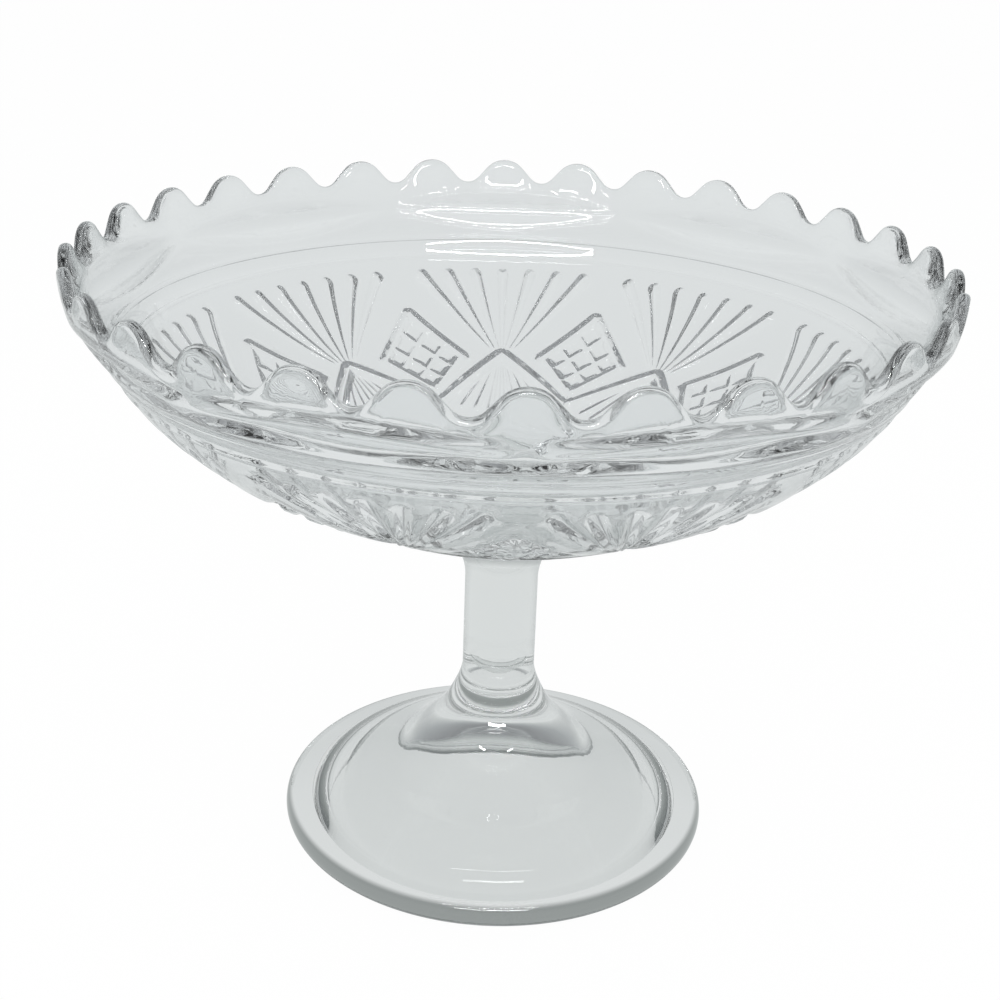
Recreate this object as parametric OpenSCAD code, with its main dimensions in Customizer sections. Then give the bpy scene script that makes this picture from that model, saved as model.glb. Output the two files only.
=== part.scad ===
/* [Bowl] */
// Width of the bowl across the tips of the rim
rim_d = 220; // [208:1:232]
// Height of the bowl above the flat that the collar meets
bowl_h = 73; // [68:0.5:78]
// Width of the flat under the bowl
base_flat_d = 40; // [38:0.5:46]
// Thickness of the glass at the rim
rim_wall = 3.6; // [3:0.1:4.2]
// Thickness of the glass behind the cut pattern
side_wall = 4.6; // [4.2:0.1:5.4]
// Thickness of the glass at the middle of the floor
floor_wall = 7; // [6:0.1:9]

/* [Rim] */
// Number of lobes round the rim
lobe_count = 30; // [28:1:32]
// Depth of the scallops from tip to valley
scallop_h = 6.8; // [6:0.1:8]
// Steepness of the flanks of the scallops in degrees
scallop_slope = 47; // [44:1:52]
// Rounding radius of the valleys between the lobes
valley_r = 4.5; // [4:0.1:5]

/* [Panels] */
// Number of panels round the bowl, each with its part of the pattern
panel_count = 9; // [8:1:10]
// How far the middle of a flat panel lies inside its corners, below the lobes
panel_sink = 5.2; // [4.4:0.1:5.8]
// How far each of the two raised lines stands out of the wall
line_out = 0.35; // [0.25:0.05:0.5]
// Width of each raised line
line_w = 2; // [1.6:0.1:2.4]

/* [Pattern] */
// Number of rays in each upper fan
ray_count = 7; // [5:2:7]
// Angle between neighbouring rays at their tips in degrees
ray_step = 5.4; // [4.8:0.1:5.6]
// Depth of an upper ray at its tip
ray_depth = 1.5; // [1.1:0.05:1.8]
// Number of fine rays in each lower fan
fine_count = 7; // [3:2:7]
// Angle between neighbouring fine rays at their ends in degrees
fine_step = 4.2; // [3.6:0.1:4.4]
// Depth of a fine ray at its end
fine_depth = 0.9; // [0.6:0.05:1.1]
// Depth of the mitre cuts that cross below each hub
mitre_depth = 2; // [1.6:0.05:2.3]
// Depth of the cuts that frame each diamond
frame_depth = 1.5; // [1.2:0.05:1.8]
// Rows of small hobnails along each side of a diamond
nail_rows = 3; // [2:1:3]
// Depth of the cuts between the hobnails
nail_depth = 0.9; // [0.6:0.05:1.1]
// Half of the angle between the two faces of a cut in degrees
cut_half_angle = 52; // [45:1:58]

/* [Collar] */
// Height of the flared neck between the stem and the bowl
collar_h = 17; // [14:0.5:20]
// Width of the neck where it meets the bowl
collar_top_d = 37; // [32:0.5:37.5]

/* [Stem] */
// Width of the round stem
stem_d = 19.6; // [18:0.2:22]
// Height of the round stem between the foot and the neck
stem_h = 27; // [22:0.5:32]

/* [Foot] */
// Width of the foot at its round edge
foot_d = 117; // [106:1:126]
// Height of the foot from the table to the ring at the base of the stem
foot_h = 45.5; // [41:0.5:50]
// Height of the widest line of the rounded edge above the table
edge_h = 3.4; // [3:0.1:4]
// Width of the flat ring that rests on the table
rest_ring_w = 6; // [4.5:0.25:8]
// Thickness of the domed glass of the foot
foot_wall = 5; // [4:0.1:6]
// Width of the deeper hollow under the middle of the foot
hollow_d = 48; // [42:0.5:54]

/* [Hidden] */

// Facets of a full turn, which come back as true curves
turn_fn = 120;

// Overrun that lets a cut pass clear of the surface that it opens
cut_over = 5;

rim_r = rim_d / 2;
base_flat_r = base_flat_d / 2;
rim_in_r = rim_r - rim_wall;
stem_r = stem_d / 2;
collar_z = foot_h + stem_h;
bowl_z = collar_z + collar_h;
overall_h = bowl_z + bowl_h;
panel_angle = 360 / panel_count;

// Outside of the bowl from the flat to the rim, as shares of the rim's radius and of the bowl's height
bowl_side_shares = [
  [0.29, 0.047], [0.40, 0.104], [0.57, 0.227], [0.70, 0.337], [0.77, 0.422],
  [0.83, 0.507], [0.88, 0.605], [0.922, 0.7], [0.962, 0.748], [0.979, 0.803],
  [0.991, 0.868], [0.998, 0.93], [1, 1]
];

// Stretch of the side that carries the two raised lines, and where each sits along it, as a share
lines_on = 7;
brow_at_share = 0.18;
ridge_at_share = 0.83;

// Width of the crest of a raised line, as a share of the line's width
crest_share = 0.33;

function side_point(i) = [bowl_side_shares[i][0] * rim_r, bowl_z + bowl_side_shares[i][1] * bowl_h];
side_n = len(bowl_side_shares);
side_pts = concat([[base_flat_r, bowl_z]], [for (i = [0 : side_n - 1]) side_point(i)]);

function unit(v) = v / norm(v);
function left_of(v) = [-v[1], v[0]];

// Direction along the side at one of its points, from its neighbours
function side_dir(i) = unit(side_pts[min(i + 1, side_n)] - side_pts[max(i - 1, 0)]);

// Thickness of the glass at one point of the side, from the floor through the pattern to the rim
function wall_at(i) =
  i == 0 ? floor_wall :
  i < side_n - 4 ? side_wall :
  side_wall + (rim_wall - side_wall) * min(1, (i - side_n + 4) / 3);

inner_pts = [for (i = [side_n : -1 : 1]) side_pts[i] + left_of(side_dir(i)) * wall_at(i)];

// Four points of a raised line that sits on its stretch of the side
function raised(share) =
  let (a = side_pts[lines_on], b = side_pts[lines_on + 1])
  let (t = unit(b - a), n = -left_of(t), m = a + (b - a) * share)
  [m - t * line_w / 2, m - t * line_w * crest_share / 2 + n * line_out,
   m + t * line_w * crest_share / 2 + n * line_out, m + t * line_w / 2];

outer_outline = concat(
  [[0, bowl_z]],
  [for (i = [0 : lines_on]) side_pts[i]],
  raised(brow_at_share),
  raised(ridge_at_share),
  [for (i = [lines_on + 1 : side_n]) side_pts[i]],
  [[0, overall_h]]
);

inner_outline = concat(
  [[0, bowl_z + floor_wall]],
  [for (i = [side_n - 1 : -1 : 1]) inner_pts[i]],
  [[rim_in_r, overall_h], [rim_in_r, overall_h + cut_over], [0, overall_h + cut_over]]
);

// Middle line of a panel from its lower edge to the lobes, as shares of the bowl's height and of the sink
panel_line_shares = [[0.705, 0], [0.796, 1], [0.837, 0]];
function side_r(z) = lookup(z, [for (p = side_pts) [p[1], p[0]]]);
function panel_point(share) =
  let (z = bowl_z + share[0] * bowl_h)
  [side_r(z) - share[1] * panel_sink, z];
panel_pts = [for (share = panel_line_shares) panel_point(share)];

// The same line on the inside of the glass
panel_wall = (side_wall + rim_wall) / 2;
panel_in_pts = [
  panel_pts[0] + left_of(unit(panel_pts[1] - panel_pts[0])) * panel_wall,
  panel_pts[1] + left_of(unit(panel_pts[2] - panel_pts[0])) * panel_wall,
  panel_pts[2] + left_of(unit(panel_pts[2] - panel_pts[1])) * panel_wall
];

// Height of the outside at a radius, and a place on it from a radius and an angle
function outside_z(r) = lookup(r, side_pts);
function place(r, a) = [r * cos(a), r * sin(a), outside_z(r)];

// Distance over which the slope of the outside is taken, as a share of the rim's radius
probe_share = 0.02;
probe = probe_share * rim_r;

// Direction out of the glass at a radius and an angle
function outward(r, a) =
  let (dz = outside_z(r + probe) - outside_z(r - probe), v = unit([dz, -2 * probe]))
  [v[0] * cos(a), v[0] * sin(a), v[1]];

// Places of the pattern on one panel, as shares of the rim's radius
hub_share = 0.64;
ray_start_share = 0.662;
ray_end_share = 0.853;
fine_start_share = 0.61;
fine_end_share = 0.435;
fine_rise_share = 0.012;
mitre_end_share = 0.485;
diamond_top_share = 0.765;
diamond_side_share = 0.635;
diamond_low_share = 0.525;

// Half of a diamond's width, as a share of the panel's angle
diamond_half_share = 0.25;

// Where the rays leave the hub, as a share of their angle at the tip
hub_spread_share = 0.2;

// Depth where a ray leaves the hub, as a share of its depth at the tip
hub_depth_share = 0.22;

// One straight cut with two sloping faces, from place a to place b on the outside of the bowl
module cut(ra, aa, rb, ab, depth_a, depth_b) {
  out = outward((ra + rb) / 2, (aa + ab) / 2);
  a = place(ra, aa) - out * depth_a;
  b = place(rb, ab) - out * depth_b;
  d = unit(b - a);
  yaw = atan2(d[1], d[0]);
  rise = asin(d[2]);
  side = [-sin(yaw), cos(yaw), 0];
  up = [-sin(rise) * cos(yaw), -sin(rise) * sin(yaw), cos(rise)];
  roll = atan2(-(out * side), out * up);
  half = cut_over * tan(cut_half_angle);
  translate(a)
    rotate([roll, -rise, yaw])
      rotate([90, 0, 90])
        linear_extrude(height = norm(b - a))
          polygon([[0, 0], [half, cut_over], [-half, cut_over]]);
}

// Upper fan of rays above the hub of one panel
module upper_fan() {
  for (k = [-(ray_count - 1) / 2 : (ray_count - 1) / 2])
    cut(ray_start_share * rim_r, k * ray_step * hub_spread_share,
        ray_end_share * rim_r, k * ray_step, ray_depth * hub_depth_share, ray_depth);
}

// Lower fan of fine rays below the hub of one panel
module lower_fan() {
  for (k = [-(fine_count - 1) / 2 : (fine_count - 1) / 2])
    cut(fine_start_share * rim_r, k * fine_step * hub_spread_share,
        (fine_end_share + abs(k) * fine_rise_share) * rim_r, k * fine_step,
        fine_depth * hub_depth_share, fine_depth);
}

// The two mitre cuts that run from the hub down to the edges of the panel
module mitres() {
  for (s = [-1, 1])
    cut(hub_share * rim_r, 0, mitre_end_share * rim_r, s * panel_angle / 2, mitre_depth, mitre_depth);
}

// Diamond of hobnails that straddles the edge of two panels
module diamond() {
  mid = panel_angle / 2;
  half = diamond_half_share * panel_angle;
  top = [diamond_top_share * rim_r, mid];
  low = [diamond_low_share * rim_r, mid];
  near = [diamond_side_share * rim_r, mid - half];
  far = [diamond_side_share * rim_r, mid + half];
  for (i = [0 : nail_rows]) {
    f = i / nail_rows;
    deep = (i == 0 || i == nail_rows) ? frame_depth : nail_depth;
    p = near + (low - near) * f;
    q = top + (far - top) * f;
    cut(p[0], p[1], q[0], q[1], deep, deep);
    u = near + (top - near) * f;
    v = low + (far - low) * f;
    cut(u[0], u[1], v[0], v[1], deep, deep);
  }
}

// Outline of one scallop from lobe tip to lobe tip, with round valley and round lobes
half_pitch = PI * rim_d / lobe_count / 2;
arc_steps = 6;
flank_room = half_pitch - scallop_h / tan(scallop_slope);
round_sum = flank_room / (sin(scallop_slope) - (1 - cos(scallop_slope)) / tan(scallop_slope));
lobe_r = round_sum - valley_r;
valley_z = overall_h - scallop_h;

valley_arc = [for (i = [0 : arc_steps])
  let (a = scallop_slope * i / arc_steps) [valley_r * sin(a), valley_z + valley_r * (1 - cos(a))]];
lobe_arc = [for (i = [arc_steps : -1 : 0])
  let (a = scallop_slope * i / arc_steps) [half_pitch - lobe_r * sin(a), overall_h - lobe_r * (1 - cos(a))]];
half_scallop = concat(valley_arc, lobe_arc);
scallop_n = len(half_scallop);
scallop_outline = concat(
  [for (i = [scallop_n - 1 : -1 : 1]) [-half_scallop[i][0], half_scallop[i][1]]],
  half_scallop,
  [[half_pitch, overall_h + cut_over], [-half_pitch, overall_h + cut_over]]
);

// Cuts that shape the valleys of the rim
module scallops() {
  for (k = [0 : lobe_count - 1])
    rotate([0, 0, 90 + (k + 0.5) * 360 / lobe_count])
      translate([rim_in_r - cut_over, 0, 0])
        rotate([90, 0, 90])
          linear_extrude(height = rim_wall + 2 * cut_over)
            polygon(scallop_outline);
}

// What lies outside the flats of all panels, from one middle line of a panel
module beyond_panels(line) {
  for (k = [0 : panel_count - 1])
    rotate([0, 0, 90 + k * panel_angle])
      translate([0, rim_r, 0])
        rotate([90, 0, 0])
          linear_extrude(height = rim_d)
            polygon(concat(
              line,
              [for (i = [len(line) - 1 : -1 : 0]) [line[i][0] + 2 * cut_over, line[i][1]]]
            ));
}

// Hollow of the bowl, with the insides of the panels
module hollow() {
  difference() {
    rotate_extrude($fn = turn_fn)
      polygon(inner_outline);
    beyond_panels(panel_in_pts);
  }
}

module bowl() {
  color([0.86, 0.89, 0.89, 0.55])
    difference() {
      rotate_extrude($fn = turn_fn)
        polygon(outer_outline);
      beyond_panels(panel_pts);
      hollow();
      scallops();
      for (k = [0 : panel_count - 1])
        rotate([0, 0, 90 + k * panel_angle]) {
          upper_fan();
          lower_fan();
          mitres();
          diamond();
        }
    }
}

// Flare of the neck, as shares of the spread beyond the stem and of the neck's height
collar_shares = [[0, 0], [0.05, 0.16], [0.15, 0.34], [0.32, 0.53], [0.56, 0.72], [0.8, 0.88], [1, 1]];
collar_spread = collar_top_d / 2 - stem_r;

module collar() {
  color([0.84, 0.87, 0.87, 0.6])
    rotate_extrude($fn = turn_fn)
      polygon(concat(
        [[0, collar_z]],
        [for (s = collar_shares) [stem_r + s[0] * collar_spread, collar_z + s[1] * collar_h]],
        [[0, collar_z + collar_h]]
      ));
}

module stem() {
  color([0.84, 0.87, 0.87, 0.6])
    translate([0, 0, foot_h])
      cylinder(h = stem_h, r = stem_r, $fn = turn_fn);
}

foot_r = foot_d / 2;

// Top of the foot from its rounded edge to the stem, as shares of the spread past the stem and of the height
foot_top_shares = [
  [0.955, 0.156], [0.91, 0.178], [0.80, 0.23], [0.66, 0.298], [0.50, 0.382], [0.36, 0.468],
  [0.255, 0.555], [0.165, 0.652], [0.09, 0.758], [0.045, 0.853], [0.014, 0.936], [0, 1]
];
foot_spread = foot_r - stem_r;

// Overhang of the rounded edge past the resting ring, as a share of the foot's radius
overhang_share = 0.06;
edge_overhang = overhang_share * foot_r;
rest_out_r = foot_r - edge_overhang;
rest_in_r = rest_out_r - rest_ring_w;

// Rounded edge of the foot, as shares of its overhang and of the height of its widest line
edge_shares = [
  [0.45, 0.12], [0.8, 0.42], [0.96, 0.74], [1, 1], [0.97, 1.35], [0.86, 1.68], [0.66, 1.93]
];

// Underside of the foot from the resting ring to the hollow, as shares of the way in and of the rise
under_shares = [[0.04, 0.3], [0.3, 0.56], [0.62, 0.78], [0.93, 0.94], [1, 1]];

// Rise of the underside up to the hollow, as a share of the room under the glass
under_rise_share = 0.36;

// Top of the hollow, as a share of the foot's height
hollow_top_share = 0.52;
hollow_r = hollow_d / 2;
under_rise = (foot_h - foot_wall) * under_rise_share;
hollow_top = foot_h * hollow_top_share;

// Roof of the deeper hollow, as shares of its radius and of its rise above the underside
hollow_shares = [[0.94, 0.3], [0.8, 0.62], [0.55, 0.86], [0.25, 0.97], [0, 1]];

foot_outline = concat(
  [[rest_in_r, 0], [rest_out_r, 0]],
  [for (s = edge_shares) [rest_out_r + s[0] * edge_overhang, s[1] * edge_h]],
  [for (s = foot_top_shares) [stem_r + s[0] * foot_spread, s[1] * foot_h]],
  [[0, foot_h]],
  [for (i = [len(hollow_shares) - 1 : -1 : 0])
    [hollow_shares[i][0] * hollow_r, under_rise + hollow_shares[i][1] * (hollow_top - under_rise)]],
  [for (i = [len(under_shares) - 1 : -1 : 0])
    [rest_in_r + under_shares[i][0] * (hollow_r - rest_in_r), under_shares[i][1] * under_rise]]
);

module foot() {
  color([0.85, 0.88, 0.88, 0.58])
    rotate_extrude($fn = turn_fn)
      polygon(foot_outline);
}

bowl();
collar();
stem();
foot();
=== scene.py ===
import math

import bmesh
import bpy
import numpy as np
from mathutils import Matrix, Vector
from mathutils.geometry import delaunay_2d_cdt


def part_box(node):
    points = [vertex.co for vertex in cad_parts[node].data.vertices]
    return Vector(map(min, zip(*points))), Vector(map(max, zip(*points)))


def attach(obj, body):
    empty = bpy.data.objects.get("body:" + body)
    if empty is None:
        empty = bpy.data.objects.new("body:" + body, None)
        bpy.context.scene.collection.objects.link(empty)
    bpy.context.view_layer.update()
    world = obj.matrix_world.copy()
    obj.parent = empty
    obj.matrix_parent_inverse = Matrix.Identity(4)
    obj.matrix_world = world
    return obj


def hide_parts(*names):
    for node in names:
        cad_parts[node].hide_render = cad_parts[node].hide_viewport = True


bl_info = {
    "name": "Footed pressed glass bowl",
    "version": (1, 0, 0),
    "blender": (4, 5, 0),
    "location": "View3D > Sidebar > Glass bowl",
    "description": "Builds a footed bowl of clear pressed glass with a scalloped rim and a cut pattern",
    "category": "Object",
}

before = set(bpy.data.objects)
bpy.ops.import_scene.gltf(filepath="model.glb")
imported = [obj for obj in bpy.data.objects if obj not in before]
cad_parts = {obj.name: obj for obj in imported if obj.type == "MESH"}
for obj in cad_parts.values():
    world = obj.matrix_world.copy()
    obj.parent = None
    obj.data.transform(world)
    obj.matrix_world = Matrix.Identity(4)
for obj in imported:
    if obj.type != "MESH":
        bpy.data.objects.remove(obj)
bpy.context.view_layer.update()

MM = 0.001
WELD = 0.00001
BOWL_LOW, BOWL_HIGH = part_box("bowl")
COLLAR_LOW, COLLAR_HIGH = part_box("collar")
STEM_LOW, STEM_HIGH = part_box("stem")
_, FOOT_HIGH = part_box("foot")

# Outside of the bowl from its flat to the rim, as shares of the rim's radius and of the bowl's height
SIDE_SHARES = [
    (0.29, 0.047), (0.40, 0.104), (0.57, 0.227), (0.70, 0.337), (0.77, 0.422), (0.83, 0.507), (0.88, 0.605),
    (0.922, 0.7), (0.962, 0.748), (0.979, 0.803), (0.991, 0.868), (0.998, 0.93), (1.0, 1.0),
]

# Points of the side between which the two raised lines sit, and the share of that stretch where each sits
LINE_STRETCH = 7, 8
LINE_PLACES = 0.18, 0.83

# Stretches of the side below the rim over which the wall thins from the side's to the rim's thickness
THINNING = 3

# Middle line of a flat panel from its lower edge to the lobes, as shares of the bowl's height and of the sink
PANEL_LINE = [(0.705, 0), (0.796, 1), (0.837, 0)]

# How far that line runs on below its lower end, in millimetres, and above its upper end, in its own lengths
RUN_BELOW, RUN_ABOVE = (30, -20), 8

# Lower edge of the pattern as a share of the rim's radius, and its room to the raised line in line widths
PATTERN_LOW, PATTERN_HIGH = 0.395, 0.8

# Places of the pattern on one panel, as shares of the rim's radius
HUB, RAY_START, RAY_END = 0.64, 0.662, 0.853
FINE_START, FINE_END, FINE_RISE = 0.61, 0.435, 0.012
MITRE_END = 0.485
DIAMOND_TOP, DIAMOND_SIDE, DIAMOND_LOW, DIAMOND_HALF = 0.765, 0.635, 0.525, 0.25
HUB_SPREAD, HUB_DEPTH = 0.2, 0.22

# Rays in half a fan with the middle one, the angles between them at their ends, and rows across a diamond
RAYS, RAY_STEP, FINE_STEP = 4, math.radians(5.2), math.radians(4.2)
DIAMOND_ROWS = 3

# Rows along a cut in millimetres: their steps, half width of a wide cut, and least distance from the middle
CUT_STEP, WIDE_CUT, LEAST_ROW = 1.7, 1.3, 0.06

# Room left at a panel's edges, at the pattern's ends and round a cut's end, in millimetres
SIDE_ROOM, END_ROOM, TIP_ROOM = 0.04, 0.6, 0.1

# Free net between the cuts in millimetres: its steps across and up, and its room to other points
NET_WIDE, NET_HIGH, NET_ROOM = 2.2, 1.9, 0.95

# First point of the free net from a panel's middle and the pattern's lower end, and room at its far ends
NET_FIRST, NET_LAST = (1.2, 1.3), (1.1, 1.2)

# Distance below which two points of the net are one, and angle below which a point lies on a panel's edge
NET_WELD, SAME_ANGLE = 0.03, 1e-4

# Rows round the end of a cut, in millimetres more than its half width, and steps of each
TIP_ROWS, TIP_STEPS = (0.05, 0.5), 6

# Rows along a cut, as shares of its half width and as millimetres more, for wide and for narrow cuts
WIDE_ROWS = [(0, 0), (0, 0.3), (1, -0.35), (1, 0.05), (1, 0.5)]
NARROW_ROWS = [(0, 0), (0.5, 0), (1, 0.05), (1, 0.45)]

# Rows across a raised line, as shares of its width
LINE_ROWS = (-0.5, -0.3, -0.12, 0.12, 0.3, 0.5)

# Softening of the upper edges of a cut, as a share of the edge rounding
UPPER_ROUND = 0.8

# Steps beside the pattern, below it, from the raised lines to the level row outside, from there to the lip,
# from the lip to the level row inside, from there to the flat panels' lower end, and down to the floor
SIDE_STEPS, FLAT_STEPS, RING_STEPS, RISE_STEPS, DROP_STEPS, BACK_STEPS, FLOOR_STEPS = 44, 8, 14, 7, 5, 9, 24
STEPS_PER_DEGREE = 2

# Rounded lip of the rim: way across the glass from outside to inside, and depth below the edge in millimetres
LIP = [
    (0, 1.3), (0.03, 0.85), (0.1, 0.45), (0.22, 0.16), (0.38, 0.02), (0.5, 0), (0.62, 0.1), (0.74, 0.4),
    (0.83, 0.85), (0.9, 1.5), (0.95, 2.4), (0.985, 3.3), (1, 4.2),
]

# Millimetres from the scallops' valleys down to the level row outside, from the lip down to that inside,
# from the flat panels' lower end to the last fine row inside, and from there to the first coarse row
OUTER_DROP, INNER_DROP, FINE_DROP, COARSE_DROP = 2.7, 0.9, 2, 1.5

# Top of the foot from its rounded edge to the stem, as shares of the spread beyond the stem and of its height
FOOT_TOP_SHARES = [
    (0.955, 0.156), (0.91, 0.178), (0.80, 0.23), (0.66, 0.298), (0.50, 0.382), (0.36, 0.468),
    (0.255, 0.555), (0.165, 0.652), (0.09, 0.758), (0.045, 0.853), (0.014, 0.936), (0, 1),
]

# Rounded edge of the foot, as shares of its overhang and of the height of its widest line
EDGE_SHARES = [(0.45, 0.12), (0.8, 0.42), (0.96, 0.74), (1, 1), (0.97, 1.35), (0.86, 1.68), (0.66, 1.93)]

# Underside of the foot from the resting ring to the hollow, as shares of the way in and of the rise
UNDER_SHARES = [(0.08, 0.18), (0.3, 0.5), (0.62, 0.78), (0.93, 0.94), (1, 1)]

# Roof of the deeper hollow, as shares of its radius and of its rise above the underside
HOLLOW_SHARES = [(0.85, 0.2), (0.65, 0.45), (0.42, 0.72), (0.25, 0.885), (0.12, 0.965), (0.05, 0.993), (0, 1)]

# Rise of the underside as a share of the room under the glass, and top of the hollow as a share of the height
UNDER_RISE, HOLLOW_TOP = 0.36, 0.57

# Points across the resting ring, as shares of its width
RING_SHARES = (0, 0.03, 0.09, 0.5, 0.91, 0.97)

# Extra points close to the ends of a turned line, in millimetres
END_STEPS = (0.15, 0.4)

# Curve of the collar's flare, as the power of the height
FLARE = 1.9

# Steps up the collar and the stem, over and under the foot, and round the stem and the foot
FLARE_STEPS, STEM_STEPS, TOP_STEPS, UNDER_STEPS = 24, 12, 90, 60
STEM_ROUND, FOOT_ROUND = 180, 240

# How far the glass faces away from the eye where the painted slant shade starts and where it is full
SLANT_SHADE_START, SLANT_SHADE_FULL = 0.45, 0.97

# Distances inside the foot's widest line where the painted edge shade starts and where it is full, in metres
EDGE_SHADE_START, EDGE_SHADE_FULL = 0.002, 0.0006

# Height of the ripple on the glass in metres, and share of the glass's colour that its shadows keep
RIPPLE_HEIGHT, SHADOW_SHARE = 0.0004, 0.93

# Bends above this angle keep a sharp edge, in radians
SHARP = 1.2

# Brightness of the room in mirrors and through glass, from straight down, 0, to straight up, 1
ROOM = [
    (0, (0.78, 0.8, 0.8)), (0.5, (0.8, 0.82, 0.82)), (0.56, (0.62, 0.64, 0.64)), (0.66, (0.42, 0.44, 0.45)),
    (0.8, (0.3, 0.31, 0.32)), (0.95, (0.25, 0.26, 0.27)),
]
ROOM_LIGHT = (0.7, 0.71, 0.71)

# Floor: half its width, the share of its own light, its colour, and its light as glass and mirrors see it
FLOOR_REACH, FLOOR_GLOW_SHARE, FLOOR_COLOUR, FLOOR_GLOW = 3, 0.97, (0.9, 0.9, 0.9), (0.78, 0.8, 0.8)

# Lamps as name, place, width, height and power. Both point at the flat panel at the back, which mirrors them
LAMPS = [("Low strip", (0.0, -1.225, 0.847), 0.9, 0.09, 11), ("High strip", (0.0, -0.88, 1.28), 1.2, 0.02, 5)]
LAMP_AIM = (0, 0.1, 0.145)

# Width of the photograph, and the pixel of it that the camera's axis meets
PHOTO_WIDTH = 1000
PHOTO_AXIS = 504.4, 501.1


def length_of(name, text, default):
    return bpy.props.FloatProperty(name=name, description=text, unit="LENGTH", default=default)


def angle_of(name, text, default):
    return bpy.props.FloatProperty(name=name, description=text, subtype="ANGLE", default=default)


def tint_of(name, text, default):
    return bpy.props.FloatVectorProperty(
        name=name, description=text, subtype="COLOR", size=3, default=default, min=0, max=1)


class BowlSizes(bpy.types.PropertyGroup):
    rim_width: length_of("Rim width", "Width across the tips of the rim", BOWL_HIGH.y - BOWL_LOW.y)
    flat_width: length_of("Flat width", "Width of the flat under the bowl", 0.040)
    rim_wall: length_of("Rim wall", "Thickness of the glass at the rim", 0.0036)
    side_wall: length_of("Side wall", "Thickness of the glass behind the pattern", 0.0046)
    floor_wall: length_of("Floor wall", "Thickness of the glass in the floor", 0.007)
    panels: bpy.props.IntProperty(
        name="Panels", description="Panels round the bowl, in threes", default=9, min=6, max=12)
    lobes: bpy.props.IntProperty(
        name="Lobes", description="Lobes round the rim, in sixes", default=30, min=24, max=36)
    panel_sink: length_of("Panel sink", "How far a flat panel's middle lies inside its corners", 0.0052)
    panel_round: length_of("Panel edge rounding", "Softening of the edges of the flat panels", 0.0018)
    scallop: length_of("Scallop depth", "Depth of the rim's scallops", 0.0068)
    scallop_slope: angle_of("Scallop slope", "Steepness of the scallops' flanks", math.radians(47))
    valley_radius: length_of("Valley radius", "Rounding of the valleys between lobes", 0.0045)
    line_out: length_of("Raised line", "How far the two raised lines stand out", 0.00035)
    line_width: length_of("Raised line width", "Width of each raised line", 0.002)
    cut_half_angle: angle_of("Cut half angle", "Half of the angle of a cut", math.radians(52))
    ray_depth: length_of("Ray depth", "Depth of an upper ray at its tip", 0.0015)
    fine_depth: length_of("Fine ray depth", "Depth of a fine ray at its end", 0.0009)
    mitre_depth: length_of("Mitre depth", "Depth of the cuts that leave each hub", 0.002)
    frame_depth: length_of("Diamond frame depth", "Depth of the cuts that frame a diamond", 0.0015)
    nail_depth: length_of("Hobnail cut depth", "Depth of the cuts between hobnails", 0.0009)
    edge_round: length_of("Edge rounding", "Softening that pressing leaves on the cuts", 0.0003)


class FootSizes(bpy.types.PropertyGroup):
    edge_height: length_of("Edge height", "Height of the widest line of the foot's edge", 0.0034)
    overhang: length_of("Edge overhang", "How far the rounded edge stands out past the resting ring", 0.0035)
    ring_width: length_of("Resting ring", "Width of the flat ring on the table", 0.006)
    hollow_width: length_of("Hollow width", "Width of the deeper hollow under the foot", 0.048)
    wall: length_of("Foot wall", "Thickness of the domed glass", 0.005)


class GlassLook(bpy.types.PropertyGroup):
    tint: tint_of("Bowl tint", "Colour of the bowl's glass", (0.952, 0.964, 0.968))
    stem_tint: tint_of("Stem tint", "Colour of the stem's and the foot's glass", (0.86, 0.875, 0.87))
    # Painted shade: glass seen at a slant turns this darker colour, partly for the longer way through the
    # glass, partly for the dark surroundings it bends in
    slant_shade: tint_of("Slant tint", "Colour of the glass where it is seen at a slant", (0.4, 0.43, 0.43))
    # Painted shade: the dark band at the foot's round edge, partly for the long way through the glass, partly
    # for the shadowed table that the edge bends in
    edge_shade: tint_of("Edge tint", "Colour of the glass at the edge of the foot", (0.13, 0.145, 0.14))
    bend: bpy.props.FloatProperty(
        name="Bending of light", description="Refractive index of the glass", default=1.5, min=1.3, max=1.8)


class StageLook(bpy.types.PropertyGroup):
    camera_distance: length_of("Camera distance", "Distance from the stem's axis", 0.3949)
    camera_height: length_of("Camera height", "Height of the camera above the table", 0.2598)
    camera_drop: angle_of("Camera drop", "Angle below the level that the camera looks", 0.398)
    camera_roll: angle_of("Camera roll", "Turn of the camera about its line of sight", 0.038)
    camera_turn: angle_of(
        "Camera side angle", "Angle round the stem from the middle of the front panel", math.radians(-2.0))
    lens: bpy.props.FloatProperty(
        name="Lens", description="Focal length in millimetres on a 36 mm sensor", default=58.42)


def smooth_through(points, count=2400):
    """A dense smooth line through points, as arrays of distance, radius and height."""
    p = np.array(points, float)
    step = np.hypot(*np.diff(p, axis=0).T)
    t = np.concatenate([[0], np.cumsum(step)])
    n = len(p)
    a = np.zeros((n, n))
    b = np.zeros((n, 2))
    a[0, 0] = a[-1, -1] = 1
    for i in range(1, n - 1):
        a[i, i - 1], a[i, i], a[i, i + 1] = step[i - 1], 2 * (step[i - 1] + step[i]), step[i]
        b[i] = 6 * ((p[i + 1] - p[i]) / step[i] - (p[i] - p[i - 1]) / step[i - 1])
    m = np.linalg.solve(a, b)
    x = np.linspace(0, t[-1], count)
    i = np.clip(np.searchsorted(t, x) - 1, 0, n - 2)
    h = step[i][:, None]
    u = (x - t[i])[:, None]
    v = h - u
    q = (m[i] * v ** 3 + m[i + 1] * u ** 3) / (6 * h)
    q = q + (p[i] / h - m[i] * h / 6) * v + (p[i + 1] / h - m[i + 1] * h / 6) * u
    s = np.concatenate([[0], np.cumsum(np.hypot(*np.diff(q, axis=0).T))])
    return s, q[:, 0], q[:, 1]


def soft_step(x):
    x = np.clip(x, 0, 1)
    return x * x * (3 - 2 * x)


def bump(x):
    return np.where(np.abs(x) < 1, (1 - np.clip(x, -1, 1) ** 2) ** 2, 0)


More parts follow.
